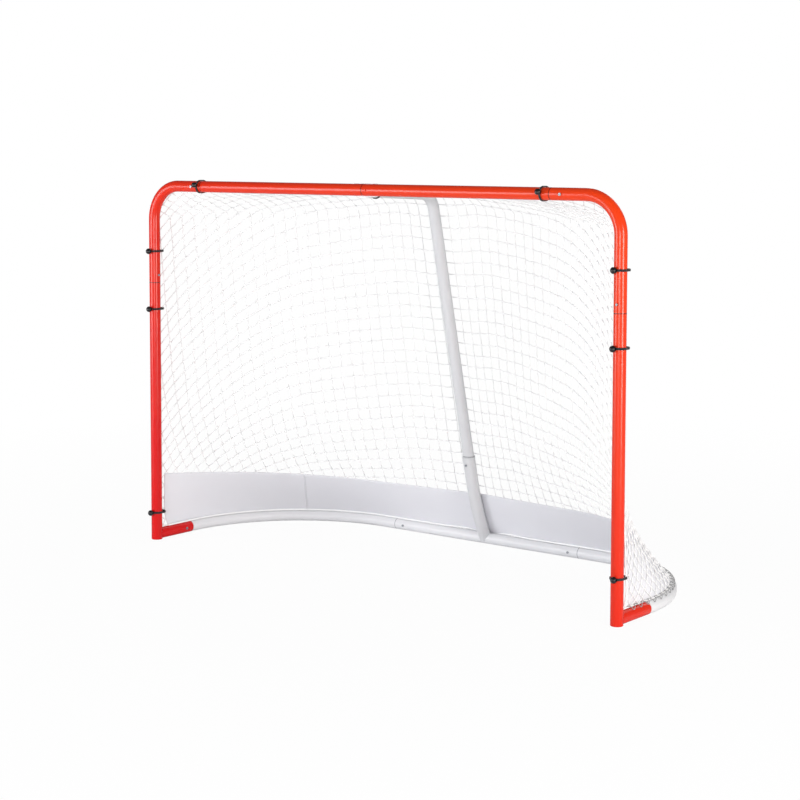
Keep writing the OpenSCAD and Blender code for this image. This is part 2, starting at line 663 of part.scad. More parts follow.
// a round cord swept along points, with flat ends
module cord(pts, d, sides) {
  n = len(pts);
  function along(i) = unit(pts[min(i + 1, n - 1)] - pts[max(i - 1, 0)]);
  rings = [for (i = [0:n - 1]) let (t = along(i), u = unit(cross(t, [0, 0, 1])), v = cross(u, t))
    for (k = [0:sides - 1]) pts[i] + d / 2 * (cos(360 * k / sides) * u + sin(360 * k / sides) * v)];
  polyhedron(rings, concat(
    [for (i = [0:n - 2], k = [0:sides - 1]) let (a = i * sides + k, b = i * sides + (k + 1) % sides)
      each [[a, b, b + sides], [a, b + sides, a + sides]]],
    [[for (k = [0:sides - 1]) sides - 1 - k]],
    [[for (k = [0:sides - 1]) (n - 1) * sides + k]]));
}

// ---- every sub-part

post(-1);  // post_left
post(1);  // post_right
post_cap(-1);  // post_cap_left
post_cap(1);  // post_cap_right
foot(-1);  // foot_left
foot(1);  // foot_right
corner_bend(-1);  // corner_bend_left
corner_bend(1);  // corner_bend_right
crossbar(-1);  // crossbar_left
crossbar(1);  // crossbar_right
top_saddle();
saddle_screws();
top_strut();
strut_foot();
base_bend(-1);  // base_bend_left
base_bend(1);  // base_bend_right
rear_bar();
corner_screws();
foot_screws();
post_button(-1);  // post_button_left
post_button(1);  // post_button_right
crossbar_button();
strut_button();
base_button(-1);  // base_button_left
base_button(1);  // base_button_right
post_spring(-1);  // post_spring_left
post_spring(1);  // post_spring_right
crossbar_spring();
strut_spring();
base_spring(-1);  // base_spring_left
base_spring(1);  // base_spring_right
post_tie(-1, post_joint_z + left_ties[0]);  // tie_left_high
post_tie(-1, post_joint_z + left_ties[1]);  // tie_left_middle
post_tie(-1, low_ties[0], low_reach, low_turn);  // tie_left_low
post_tie(1, post_joint_z + right_ties[0]);  // tie_right_high
post_tie(1, post_joint_z + right_ties[1]);  // tie_right_middle
post_tie(1, low_ties[1], low_reach, low_turn);  // tie_right_low
bar_tie(-joint_x - bar_ties[0]);  // tie_crossbar_left
bar_tie(joint_x + bar_ties[1]);  // tie_crossbar_right
tie_top_tube();
net_roof(-1);  // net_roof_left
net_roof(1);  // net_roof_right
net_back(-1);  // net_back_left
net_back(1);  // net_back_right
skirt_side(-1);  // skirt_left
skirt_rear();
skirt_side(1);  // skirt_right
base_lacing();
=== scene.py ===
import bpy
import bmesh
import math
import numpy as np
from mathutils import Matrix, Vector


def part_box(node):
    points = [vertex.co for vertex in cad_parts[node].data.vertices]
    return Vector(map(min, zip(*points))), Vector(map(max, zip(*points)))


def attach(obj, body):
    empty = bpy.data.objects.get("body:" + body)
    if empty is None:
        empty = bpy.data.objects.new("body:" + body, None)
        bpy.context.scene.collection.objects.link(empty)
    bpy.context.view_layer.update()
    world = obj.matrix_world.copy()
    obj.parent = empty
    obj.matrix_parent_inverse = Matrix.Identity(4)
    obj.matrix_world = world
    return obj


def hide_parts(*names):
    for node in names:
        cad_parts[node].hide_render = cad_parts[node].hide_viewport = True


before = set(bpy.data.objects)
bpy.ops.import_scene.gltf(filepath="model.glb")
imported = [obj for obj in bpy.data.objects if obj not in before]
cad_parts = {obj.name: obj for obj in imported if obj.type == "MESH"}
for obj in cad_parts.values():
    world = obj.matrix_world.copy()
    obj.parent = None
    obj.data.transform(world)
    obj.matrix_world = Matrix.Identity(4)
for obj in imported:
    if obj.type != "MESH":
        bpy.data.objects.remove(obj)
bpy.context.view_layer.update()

# ---------------------------------------------------------------------------
# Camera and studio: a long lens a little above the crossbar, in front and to
# the right of the mouth, on a white sweep under soft daylight lamps.

bpy.context.scene.view_settings.view_transform = "Standard"

looks_down = math.radians(4.46)
looks_left = math.radians(39.24)
camera_data = bpy.data.cameras.new("camera")
camera_data.lens = 83.8
camera_data.shift_x = 0.06
camera_data.shift_y = -0.14
camera = bpy.data.objects.new("camera", camera_data)
camera.location = (3.676, -4.898, 1.386)
camera.rotation_euler = (math.pi / 2 - looks_down, 0, looks_left)
bpy.context.collection.objects.link(camera)
bpy.context.scene.camera = camera


def linear(hex_colour):
    """A colour as it looks on a screen, such as #d8d8d8, in the renderer's linear values."""
    parts = [int(hex_colour[i:i + 2], 16) / 255 for i in (1, 3, 5)]
    return (*[c / 12.92 if c <= 0.04045 else ((c + 0.055) / 1.055) ** 2.4 for c in parts], 1.0)


def add(tree, kind, inputs=(), **settings):
    """Adds a node; each input is a plain value or the socket that feeds it."""
    made = tree.nodes.new(kind)
    for name, value in settings.items():
        setattr(made, name, value)
    for name, value in dict(inputs).items():
        if isinstance(value, bpy.types.NodeSocket):
            tree.links.new(value, made.inputs[name])
        else:
            made.inputs[name].default_value = value
    return made


def calc(tree, operation, *values, **settings):
    """The result of one operation on numbers or sockets."""
    return add(tree, "ShaderNodeMath", dict(enumerate(values)), operation=operation, **settings).outputs[0]


def remap(tree, value, start, stop, at_start, at_stop):
    """A value between start and stop, moved in step to between at_start and at_stop."""
    ends = {0: value, 1: start, 2: stop, 3: at_start, 4: at_stop}
    return add(tree, "ShaderNodeMapRange", ends).outputs[0]


def blend(tree, share, first, second):
    """A colour from first to second, which are colours or sockets."""
    return add(tree, "ShaderNodeMix", {0: share, 6: first, 7: second}, data_type="RGBA").outputs[2]


def blank_tree(owner):
    """The owner's node tree, emptied."""
    owner.use_nodes = True
    owner.node_tree.nodes.clear()
    return owner.node_tree


def new_material(name):
    """A new material, its empty tree and the place on the object that its textures follow."""
    material = bpy.data.materials.new(name)
    tree = blank_tree(material)
    return material, tree, add(tree, "ShaderNodeTexCoord").outputs["Object"]


def set_surface(tree, colour, roughness, height, strength, distance, **more):
    """Ends a tree with one shader, whose fine relief comes from a bump."""
    bump = add(tree, "ShaderNodeBump", {"Height": height, "Strength": strength, "Distance": distance})
    shader = add(tree, "ShaderNodeBsdfPrincipled", {
        "Base Color": colour, "Roughness": roughness, "Normal": bump.outputs[0], **more})
    add(tree, "ShaderNodeOutputMaterial", {"Surface": shader.outputs[0]})


def share_of_rays(tree, *kinds):
    """1 for the kinds of ray that are named and 0 for all others."""
    ray = add(tree, "ShaderNodeLightPath").outputs
    share = ray[kinds[0]]
    for kind in kinds[1:]:
        share = calc(tree, "MAXIMUM", share, ray[kind])
    return share


# The backdrop is white, while the room that lights the goal is dimmer overhead
# than at eye level, and dimmer still as the gloss coats mirror it.
at_eye_level, overhead, in_gloss = 0.85, 0.4, 0.33
world = bpy.data.worlds.new("studio")
bpy.context.scene.world = world
tree = blank_tree(world)
aim = add(tree, "ShaderNodeSeparateXYZ", {0: add(tree, "ShaderNodeTexCoord").outputs["Generated"]}).outputs
room = remap(tree, aim[2], 0.0, 0.8, at_eye_level, overhead)
mirrored = remap(tree, share_of_rays(tree, "Is Glossy Ray"), 0.0, 1.0, 1.0, in_gloss)
level = calc(tree, "MULTIPLY", room, mirrored)
soft = add(tree, "ShaderNodeBackground", {"Color": linear("#f6f8fb"), "Strength": level})
white = add(tree, "ShaderNodeBackground", {"Color": linear("#ffffff"), "Strength": 1.0})
straight = share_of_rays(tree, "Is Camera Ray", "Is Transmission Ray")
sky = add(tree, "ShaderNodeMixShader", {0: straight, 1: soft.outputs[0], 2: white.outputs[0]})
add(tree, "ShaderNodeOutputWorld", {"Surface": sky.outputs[0]})

# The floor glows as white as the backdrop, and a trace less within 1.2 m of the
# goal's middle, so that the goal just darkens what it stands on.
sweep_paint, tree, place = new_material("white_sweep")
matt = add(tree, "ShaderNodeBsdfDiffuse", {"Color": linear("#f2f2f2")})
lit = add(tree, "ShaderNodeEmission", {"Color": linear("#ffffff"), "Strength": 1.0})
straight = share_of_rays(tree, "Is Camera Ray", "Is Transmission Ray")
away = add(tree, "ShaderNodeVectorMath", {0: place}, operation="LENGTH")
glow = remap(tree, away.outputs["Value"], 1.2, 3.5, 0.95, 1.0)
share = calc(tree, "MULTIPLY", straight, glow)
sweep = add(tree, "ShaderNodeMixShader", {0: share, 1: matt.outputs[0], 2: lit.outputs[0]})
add(tree, "ShaderNodeOutputMaterial", {"Surface": sweep.outputs[0]})

bpy.ops.mesh.primitive_circle_add(vertices=64, radius=14, fill_type="NGON")
floor = bpy.context.object
floor.name = "floor"
floor.data.materials.append(sweep_paint)


def softbox(name, place, target, size, watts, colour):
    """A rectangular lamp at a place, aimed at a target."""
    data = bpy.data.lights.new(name, "AREA")
    data.shape = "RECTANGLE"
    data.size, data.size_y = size
    data.energy = watts
    data.color = linear(colour)[:3]
    made = bpy.data.objects.new(name, data)
    made.location = place
    made.rotation_euler = (Vector(target) - Vector(place)).to_track_quat("-Z", "Y").to_euler()
    bpy.context.collection.objects.link(made)


softbox("key", (4.9, -1.3, 1.0), (0, 0, 0.4), (1.3, 1.9), 130, "#fffaf5")
softbox("fill", (-2.7, -3.7, 0.9), (0, 0, 0.3), (2.2, 1.6), 85, "#fbfcff")
softbox("front", (2.2, -5.2, 0.8), (0, 0, 0.2), (2.6, 0.8), 70, "#ffffff")
softbox("rim", (-0.5, 4.4, 3.0), (0, 0, 0.5), (3.6, 1.6), 40, "#ffffff")

# ---------------------------------------------------------------------------
# Red front frame: posts, caps, feet, corner bends and the two halves of the
# crossbar. Steel tube in a gloss powder coat, smooth with a faint orange peel,
# and a dark line where one tube slides into the next.

post = [np.array(corner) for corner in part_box("post_right")]
post_x = (post[0][0] + post[1][0]) / 2
mouth_y = (post[0][1] + post[1][1]) / 2
tube_r = (post[1][0] - post[0][0]) / 2
bar = [np.array(corner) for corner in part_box("crossbar_right")]
bar_z = (bar[0][2] + bar[1][2]) / 2
joint_half = 0.0012


def powder_coat(name, colours, roughness, specular, joints, joint_colour):
    """Paint baked on as powder: two close shades in slow clouds, the second laid more above and to
    the right as painted light, lumps 1.5 mm apart, and a line 2.4 mm wide at each joint, (axis, place)."""
    material, tree, place = new_material(name)
    axes = add(tree, "ShaderNodeSeparateXYZ", {0: place}).outputs
    clouds = add(tree, "ShaderNodeTexNoise", {"Vector": place, "Scale": 9.0, "Detail": 3.0}).outputs[0]
    # painted light: the second shade gains towards the right and upwards
    across = remap(tree, axes[0], -1.0, 1.0, -0.4, 0.2)
    up = remap(tree, axes[2], 0.0, 1.2, 0.0, 0.6)
    share = calc(tree, "MULTIPLY_ADD", clouds, 0.4, calc(tree, "ADD", across, up), use_clamp=True)
    paint = blend(tree, share, *[linear(colour) for colour in colours])
    for axis, at in joints:
        near = calc(tree, "COMPARE", axes[axis], at, joint_half)
        paint = blend(tree, near, paint, linear(joint_colour))
    peel = add(tree, "ShaderNodeTexNoise", {"Vector": place, "Scale": 650.0, "Detail": 2.0}).outputs[0]
    set_surface(tree, paint, roughness, peel, strength=0.05, distance=0.001,
                **{"Specular IOR Level": specular})
    return material


def wear(material, *nodes):
    """Puts a finish on carried-over CAD nodes."""
    for name in nodes:
        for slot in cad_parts[name].material_slots:
            slot.material = material


corner_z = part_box("corner_bend_right")[0][2]
corner_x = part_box("corner_bend_right")[0][0]
# The second, more orange red is painted warm light, laid on the upper right of the frame.
red_coat = powder_coat("red_gloss_powder_coat_painted_warm_light", ("#cc0405", "#dc3a0b"), roughness=0.22, specular=0.36,
                       joints=[(2, corner_z), (0, corner_x), (0, -corner_x), (0, 0.0)],
                       joint_colour="#3c0d08")
wear(red_coat, "post_left", "post_right", "post_cap_left", "post_cap_right", "foot_left", "foot_right",
     "corner_bend_left", "corner_bend_right", "crossbar_left", "crossbar_right")

# ---------------------------------------------------------------------------
# White base and back: base bends, rear bar, strut foot and its sleeve, top
# tube, strut and saddle. The same steel tube in a satin white powder coat; the
# strut and its foot wear a darker copy of it, as painted shade.

rear_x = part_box("rear_bar")[1][0]
strut_joint_z = 0.318
white_coat = powder_coat("white_satin_powder_coat", ("#e0e0e2", "#dadbdd"), roughness=0.34, specular=0.5,
                         joints=[(0, rear_x), (0, -rear_x)], joint_colour="#9b9da1")
# The strut's darker coat is painted shade: it is the same white coat as the base.
strut_coat_in_painted_shade = powder_coat("white_satin_powder_coat_strut_painted_shade", ("#d0d0d2", "#cacbcd"), roughness=0.45,
                         specular=0.4, joints=[(2, strut_joint_z)], joint_colour="#77797d")
wear(white_coat, "top_saddle", "base_bend_left", "base_bend_right", "rear_bar")
wear(strut_coat_in_painted_shade, "top_strut", "strut_foot")

# ---------------------------------------------------------------------------
# Snap buttons and their spring strips: zinc-plated steel, with faint grinding
# marks about a millimetre apart. The button in the crossbar is painted over.

zinc, tree, place = new_material("bright_zinc_plate")
marks = add(tree, "ShaderNodeTexNoise", {"Vector": place, "Scale": 900.0, "Detail": 4.0}).outputs[0]
tone = blend(tree, marks, linear("#a6a9ad"), linear("#8f9297"))
set_surface(tree, tone, roughness=0.4, height=marks, strength=0.12, distance=0.0004, Metallic=1.0)
wear(zinc, *[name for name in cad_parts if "_button" in name or "_spring" in name])
wear(red_coat, "crossbar_button")

# ---------------------------------------------------------------------------
# Screws: pan heads with a cross recess, zinc plated, two to a pair, at the
# crossbar's ends, the feet and the saddle. One is modelled and then copied.

head_r = 0.00475
head_h = 0.0026
head_round = 0.0011
shank_r = 0.0024
shank_l = 0.008
slot_size = (0.0046, 0.0011, 0.0026)

# a low cylinder with its top edge rounded over, a shank, and two slots that cross
bpy.ops.object.select_all(action="DESELECT")
bpy.ops.mesh.primitive_cylinder_add(vertices=48, radius=head_r, depth=head_h, location=(0, 0, head_h / 2))
screw = bpy.context.object
bpy.ops.object.transform_apply(location=True, rotation=False, scale=False)
bpy.ops.object.mode_set(mode="EDIT")
bpy.ops.mesh.select_all(action="DESELECT")
bpy.ops.object.mode_set(mode="OBJECT")
for face in screw.data.polygons:
    face.select = face.normal.z > 0.9
bpy.ops.object.mode_set(mode="EDIT")
bpy.ops.mesh.bevel(offset=head_round, segments=4, profile=0.6)
bpy.ops.object.mode_set(mode="OBJECT")
bpy.ops.mesh.primitive_cylinder_add(vertices=24, radius=shank_r, depth=shank_l, location=(0, 0, -shank_l / 2))
shank = bpy.context.object
bpy.ops.object.transform_apply(location=True, rotation=False, scale=False)
cutters = []
for turn in (0, 90):
    bpy.ops.mesh.primitive_cube_add(size=1, location=(0, 0, head_h))
    cutter = bpy.context.object
    cutter.scale = slot_size
    cutter.rotation_euler = (0, 0, math.radians(turn))
    bpy.ops.object.transform_apply(location=True, rotation=True, scale=True)
    cutters.append(cutter)
for cutter in cutters:
    recess = screw.modifiers.new("recess", "BOOLEAN")
    recess.operation = "DIFFERENCE"
    recess.object = cutter
    recess.solver = "EXACT"
    bpy.context.view_layer.objects.active = screw
    bpy.ops.object.modifier_apply(modifier=recess.name)
    bpy.data.objects.remove(cutter)
bpy.ops.object.select_all(action="DESELECT")
shank.select_set(True)
screw.select_set(True)
bpy.context.view_layer.objects.active = screw
bpy.ops.object.join()
bpy.ops.object.shade_smooth_by_angle(angle=math.radians(35))


def facing(out):
    """Turns +Z to the way that a screw faces."""
    return Vector(out).to_track_quat("Z", "Y").to_matrix().to_4x4()


def screw_pair(node, places, out):
    """Copies of the screw for one CAD node, as one piece."""
    group = bmesh.new()
    for place, way in zip(places, out):
        one = screw.data.copy()
        one.transform(Matrix.Translation(place) @ facing(way))
        group.from_mesh(one)
        bpy.data.meshes.remove(one)
    mesh = bpy.data.meshes.new(node + "_detail")
    group.to_mesh(mesh)
    group.free()
    piece = bpy.data.objects.new(node + "_detail", mesh)
    bpy.context.collection.objects.link(piece)
    mesh.materials.clear()
    mesh.materials.append(zinc)
    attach(piece, "goal")
    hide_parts(node)


bar_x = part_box("corner_screws")[1][0] - head_r
foot_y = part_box("foot_screws")[0][1] + head_r
saddle_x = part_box("saddle_screws")[1][0] - head_r
saddle_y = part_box("saddle_screws")[1][1] - head_h
sides = (-1, 1)
screw_pair("corner_screws", [(side * bar_x, mouth_y - tube_r, bar_z) for side in sides], [(0, -1, 0)] * 2)
screw_pair("foot_screws", [(side * (post_x - tube_r), foot_y, tube_r) for side in sides],
           [(1, 0, 0), (-1, 0, 0)])
screw_pair("saddle_screws", [(side * saddle_x, saddle_y, bar_z) for side in sides], [(0, 1, 0)] * 2)
bpy.data.objects.remove(screw)

# ---------------------------------------------------------------------------
# Knotted net: white braided cord of 3.2 mm in 40 mm square mesh, one piece of
# netting each side of the strut. It hangs from the crossbar, goes over the top
# tube, falls behind the strut and flares out over the base tube.

# All places in this section are in metres from the foot of the mouth's middle,
# and the net is made for the right half, x > 0, and mirrored for the left.
mesh_size = 0.040
cord_r = 0.0016
edge_rope_r = 0.0022
net_gap = 0.0003
edge_gap = 0.0002
hem_gap = 0.0008
skirt_t = 0.0014
lay = tube_r + net_gap + cord_r         # from a tube's axis to the middle of the net's cord
hem_lay = lay + skirt_t + hem_gap       # the same with the skirt's cloth in between

# The frame that the net is hung on: its corners, and the one bent tube behind
# it, which falls a little from the crossbar, turns down, leans and bends back.
corner_r = 0.115
base_r = 0.490
base_depth = 0.672
strut_r = 0.070
strut_top_y = 0.353
strut_lean = math.radians(13.5)
strut_turn = math.acos(0.28)
top_fall = math.pi / 2 - strut_lean - strut_turn
top_start_z = bar_z - 0.004
strut_top_z = top_start_z - strut_top_y * math.tan(top_fall)
bend_cut = strut_r * math.tan(strut_turn / 2)
bend_y = strut_top_y - bend_cut * math.cos(top_fall) - strut_r * math.sin(top_fall)
bend_z = strut_top_z + bend_cut * math.sin(top_fall) - strut_r * math.cos(top_fall)
sleeve_r = 0.0212
sleeve_l = 0.074
joint_y = strut_top_y + (strut_top_z - strut_joint_z) * math.tan(strut_lean)
knee_y = joint_y + sleeve_l * math.sin(strut_lean)
knee_z = strut_joint_z - sleeve_l * math.cos(strut_lean)
foot_turn = 2 * (math.atan2(base_depth - knee_y, knee_z - tube_r) - strut_lean)
foot_r = math.hypot(base_depth - knee_y, knee_z - tube_r) / (2 * math.sin(foot_turn / 2))
foot_cy = knee_y + foot_r * math.cos(strut_lean)
foot_cz = knee_z + foot_r * math.sin(strut_lean)

# The net's own form. Its roof is the first quarter of every column, the flare
# starts 0.62 m up, and the last 90 mm are tucked in to the base tube.
roof_share = 0.25
roof_y = 0.045
roof_post_z = 1.130
roof_l = (bend_y - roof_y) / math.cos(top_fall)
flare_top = 0.620
flare_power = 2.3
tuck_h = 0.090
over_skirt_z = 0.208
side_step = 0.004
side_end = 0.025
half_run = post_x - base_r + base_r * math.pi / 2 + base_depth - base_r
edge_run = half_run - side_end
edge_y = math.sqrt((lay + edge_gap) ** 2 - side_step ** 2)
ridge_top = bend_z + (strut_r + lay) * math.sin(strut_lean)
ridge_gap = 0.0006
corner_mid = corner_r * (1 - math.cos(math.pi / 4))

# Degrees up the base tube from level: where the net's edge lies behind the
# strut foot and where it lies once it has climbed, and how its fall is aimed.
edge_low = 27
edge_high = 88
climbed_s = 0.13
aim_post = 8
aim_bulge = 38

# The middle point of each row's curve, as shares of the post's x and of the
# ridge's y, at the crossbar, where the roof ends, and at the base.
mid_x_top, mid_x_roof, mid_x_base = 0.5, 0.643, 0.75
mid_y_roof, mid_y_base = 1.05, 0.64
mid_z_top, mid_z_roof = 0.5, 0.35


def mix(a, b, u):
    return a + (b - a) * u


def ease(u):
    """0 to 1 with a soft start and a soft stop."""
    u = np.clip(u, 0, 1)
    return u * u * (3 - 2 * u)


def side_lay(s):
    """How far up the base tube, in radians from level, the net's fall is aimed."""
    return np.radians(mix(edge_low, aim_post, s) + aim_bulge * np.sin(math.pi * s))


def wrap(s):
    """How far up the base tube, in radians from level, the net's bottom edge lies: behind the
    strut foot it passes outside, and from there it climbs to lie along the tube's top."""
    return np.radians(mix(edge_low, edge_high, ease(s / climbed_s)))


def off_base(s, angle, radius):
    """A point beside the base tube, s of the way from the ridge to the post."""
    d = s * edge_run
    flat = post_x - base_r
    turn = np.clip((d - flat) / base_r, 0, math.pi / 2)
    out = base_r + radius * np.cos(angle)
    past = np.maximum(d - flat - base_r * math.pi / 2, 0)
    return np.stack([np.minimum(d, flat) + out * np.sin(turn),
                     base_depth - base_r + out * np.cos(turn) - past,
                     tube_r + radius * np.sin(angle)], -1)


hem_z = float(tube_r + hem_lay * np.sin(wrap(0.0)))


def ridge_lay(z):
    """How far behind the strut's axis the net lies. Each layer between them, the skirt's cloth
    and the strut foot's sleeve, makes room for itself over some centimetres above its top."""
    skirt = mix(skirt_t + 0.001, 0, ease((z - over_skirt_z - 0.01) / 0.09))
    sleeve = mix(sleeve_r - tube_r, 0, ease((z - strut_joint_z - 0.005) / 0.06))
    return skirt + sleeve + lay + ridge_gap


def ridge(t):
    """The net's line over the top tube, round its bend and down behind the strut."""
    u = np.clip(t / roof_share, 0, 1)
    d = 2 * u * roof_l
    level_z = top_start_z - roof_y * math.tan(top_fall) - d * math.sin(top_fall) + lay * math.cos(top_fall)
    level = np.stack([0 * u, roof_y + d * math.cos(top_fall) + lay * math.sin(top_fall), level_z], -1)
    a = top_fall + (2 * u - 1) * strut_turn
    bent = np.stack([0 * u, bend_y + (strut_r + lay) * np.sin(a), bend_z + (strut_r + lay) * np.cos(a)], -1)
    z = mix(ridge_top, hem_z, np.clip((t - roof_share) / (1 - roof_share), 0, 1))
    off = ridge_lay(z)
    straight = strut_top_y + (strut_top_z - z) * math.tan(strut_lean) + off / math.cos(strut_lean)
    curved = foot_cy - np.sqrt(np.maximum((foot_r - off) ** 2 - (z - foot_cz) ** 2, 0))
    fall = np.stack([0 * z, np.where(z > knee_z + off * math.sin(strut_lean), straight, curved), z], -1)
    return np.where((t > roof_share)[..., None], fall, np.where((u < 0.5)[..., None], level, bent))


def post_edge(t):
    """The net's edge round the corner bend and down the post, a little outside its axis."""
    u = np.clip(t / roof_share, 0, 1)
    x = mix(post_x - corner_mid + side_step * 0.7, post_x + side_step, np.sqrt(u))
    z = mix(bar_z - corner_mid + side_step * 0.7, roof_post_z, u)
    low = np.clip((t - roof_share) / (1 - roof_share), 0, 1)
    return np.stack([x, edge_y + 0 * u, np.where(t > roof_share, mix(roof_post_z, hem_z, low), z)], -1)


def row(s, t):
    """One row of the net from the ridge, s = 0, to the post, s = 1, as a quadratic curve."""
    a, c = ridge(t), post_edge(t)
    u = np.clip(t / roof_share, 0, 1)
    v = 1 - (1 - np.clip((t - roof_share) / (1 - roof_share), 0, 1)) ** 2
    b = np.stack([mix(mix(mid_x_top, mid_x_roof, u), mid_x_base, v) * post_x,
                  mix(mix(edge_y, mid_y_roof * a[..., 1], u), mid_y_base * a[..., 1], v),
                  mix(a[..., 2], c[..., 2], mix(mid_z_top, mid_z_roof, u))], -1)
    s = s[..., None]
    return (1 - s) ** 2 * a + 2 * s * (1 - s) * b + s * s * c


def top_edge(s):
    """Where the net's top edge lies: on the top tube, then behind the crossbar and its bend."""
    straight = post_x - corner_r
    d = s * (straight + corner_r * math.pi / 4)
    a = np.maximum(d - straight, 0) / corner_r
    start = ridge(np.zeros(1))[0]
    up = ease(d / 0.15)
    return np.stack([np.minimum(d, straight) + (corner_r + side_step) * np.sin(a),
                     mix(start[1], edge_y, up),
                     mix(start[2], bar_z + side_step, up) - (corner_r + side_step) * (1 - np.cos(a))], -1)


def surface(s, t):
    """The net's surface: s from the strut to the post, t from the crossbar to the base."""
    s, t = np.broadcast_arrays(np.asarray(s, float), np.asarray(t, float))
    p = row(s, t)
    rise = (p[..., 2] - hem_z)[..., None]
    low = np.maximum(1 - rise / (flare_top - hem_z), 0)
    tuck = np.maximum(1 - rise / tuck_h, 0)
    high = np.maximum(1 - t / roof_share, 0)[..., None]
    beside = off_base(s, side_lay(s), hem_lay)
    return (p + low ** flare_power * (beside - row(s, np.ones_like(s)))
            + tuck ** 2 * (off_base(s, wrap(s), hem_lay) - beside)
            + high ** 2 * (top_edge(s) - row(s, np.zeros_like(s))))


def surface_out(s, t, step=0.002):
    """The way out of the net's surface, away from the goal's inside."""
    s, t = np.minimum(s, 1 - step), np.minimum(t, 1 - step)
    here = surface(s, t)
    n = np.cross(surface(s + step, t) - here, surface(s, t + step) - here)
    n[..., 0] = np.where(s < step, 0, n[..., 0])
    return n / np.linalg.norm(n, axis=-1, keepdims=True)


# Mesh lines: columns lie 40 mm apart along each row, counted from the ridge,
# and rows 40 mm apart down each column. Halfway to the posts the rows lie a
# little higher than that, and near the posts they dip again.

s_grid = np.linspace(0, 1, 241)
t_grid = np.linspace(0, 1, 481)
grid = surface(s_grid[None, :], t_grid[:, None])
across = np.linalg.norm(np.diff(grid, axis=1), axis=-1).cumsum(1)
across = np.hstack([np.zeros((len(t_grid), 1)), across]) / mesh_size
down = np.linalg.norm(np.diff(grid, axis=0), axis=-1).cumsum(0)
row_lift = 0.14 * s_grid ** 2 - 0.8 * np.maximum(s_grid - 0.45, 0) ** 2
down = (np.vstack([np.zeros((1, len(s_grid))), down]) + row_lift) / mesh_size
post_thread = 1.2                       # the longest last thread to the post, in meshes


def column_points(k):
    """(s, t, count of rows above) along column k, where it lies on the net."""
    on = across[:, -1] >= k
    s = np.array([np.interp(k, a, s_grid) for a in across[on]])
    t = t_grid[on]
    v = np.array([np.interp(x, s_grid, d) for x, d in zip(s, down[on])])
    return s, t, v


knots = {}
threads = []
for k in range(int(across.max()) + 1):
    s, t, v = column_points(k)
    if len(t) < 3:
        continue
    line = [(float(s[0]), float(t[0]))]
    for m in range(int(math.ceil(v[0])), int(math.floor(v[-1])) + 1):
        place = (float(np.interp(m, v, s)), float(np.interp(m, v, t)))
        knots[k, m] = place
        line.append(place)
    line.append((float(s[-1]), float(t[-1])))
    threads += [pair for pair in zip(line, line[1:]) if pair[0] != pair[1]]
for m in range(int(math.floor(down.min())), int(down.max()) + 1):
    ks = sorted(k for k, other in knots if other == m)
    threads += [(knots[k, m], knots[k + 1, m]) for k in ks if (k + 1, m) in knots]
    if ks and down[0, -1] <= m <= down[-1, -1]:
        at_post = float(np.interp(m, down[:, -1], t_grid))
        if across[int(at_post * (len(t_grid) - 1)), -1] - ks[-1] < post_thread:
            threads.append((knots[ks[-1], m], (1.0, at_post)))


def rings(way, beside, count):
    """Circles of points, each square to its own way, that start off to one side."""
    first = np.cross(way, beside)
    first /= np.linalg.norm(first, axis=1, keepdims=True)
    second = np.cross(way, first)
    turn = np.arange(count) * 2 * math.pi / count
    return np.cos(turn)[None, :, None] * first[:, None] + np.sin(turn)[None, :, None] * second[:, None]


def tube_faces(base, length, count):
    """Faces of a closed tube of so many rings, whose first point is number base."""
    faces = []
    for a in range(base, base + (length - 1) * count, count):
        b = a + count
        faces += [(a + j, a + (j + 1) % count, b + (j + 1) % count, b + j) for j in range(count)]
    last = base + (length - 1) * count
    return faces + [tuple(base + count - 1 - j for j in range(count)), tuple(last + j for j in range(count))]


def short_tubes(starts, middles, ends, radius, count):
    """Closed tubes, each through three points, as vertices and faces."""
    way = ends - starts
    way = way / np.maximum(np.linalg.norm(way, axis=1, keepdims=True), 1e-9)
    ring = rings(way, [0.31, 0.22, 0.93], count)
    line = np.stack([starts, middles, ends], 1)
    verts = (line[:, :, None] + radius * ring[:, None]).reshape(-1, 3)
    faces = []
    for i in range(len(starts)):
        faces += tube_faces(i * 3 * count, 3, count)
    return verts, faces


def rope(line, radius, count=8):
    """A round rope along many points, with closed ends."""
    line = np.asarray(line, float)
    way = np.gradient(line, axis=0)
    way /= np.linalg.norm(way, axis=1, keepdims=True)
    verts = (line[:, None] + radius * rings(way, (0.05, 0.03, 1.0), count)).reshape(-1, 3)
    return list(verts), tube_faces(0, len(line), count)


def lumps(places, outs, radius, flat):
    """Small knots with four points round them, flattened along the way out of the net."""
    verts, faces = [], []
    corners = [(0.45, 0.45), (-0.45, 0.45), (-0.45, -0.45), (0.45, -0.45)]
    shape = [(1, 0, 0), (0, 1, 0), (-1, 0, 0), (0, -1, 0)] + [(x, y, z) for z in (1, -1) for x, y in corners]
    links = [(4, 5, 6, 7), (11, 10, 9, 8), (0, 1, 4), (4, 1, 5), (1, 2, 5), (5, 2, 6), (2, 3, 6), (6, 3, 7),
             (3, 0, 7), (7, 0, 4), (1, 0, 8), (1, 8, 9), (2, 1, 9), (2, 9, 10), (3, 2, 10), (3, 10, 11),
             (0, 3, 11), (0, 11, 8)]
    shape = np.array(shape) * (1, 1, flat)
    for place, out in zip(places, outs):
        side = np.cross(out, (0, 0, 1))
        side /= np.linalg.norm(side)
        rise = np.cross(side, out)
        at = len(verts)
        verts += list(place + radius * (shape[:, :1] * side + shape[:, 1:2] * rise + shape[:, 2:] * out))
        faces += [tuple(at + j for j in link) for link in links]
    return verts, faces


def joined(*shapes):
    """Several shapes as one."""
    verts, faces = [], []
    for more, links in shapes:
        at = len(verts)
        verts += list(more)
        faces += [tuple(at + j for j in link) for link in links]
    return verts, faces


wave_per_metre = 0.314                  # a wave texture's scale for bands one metre apart


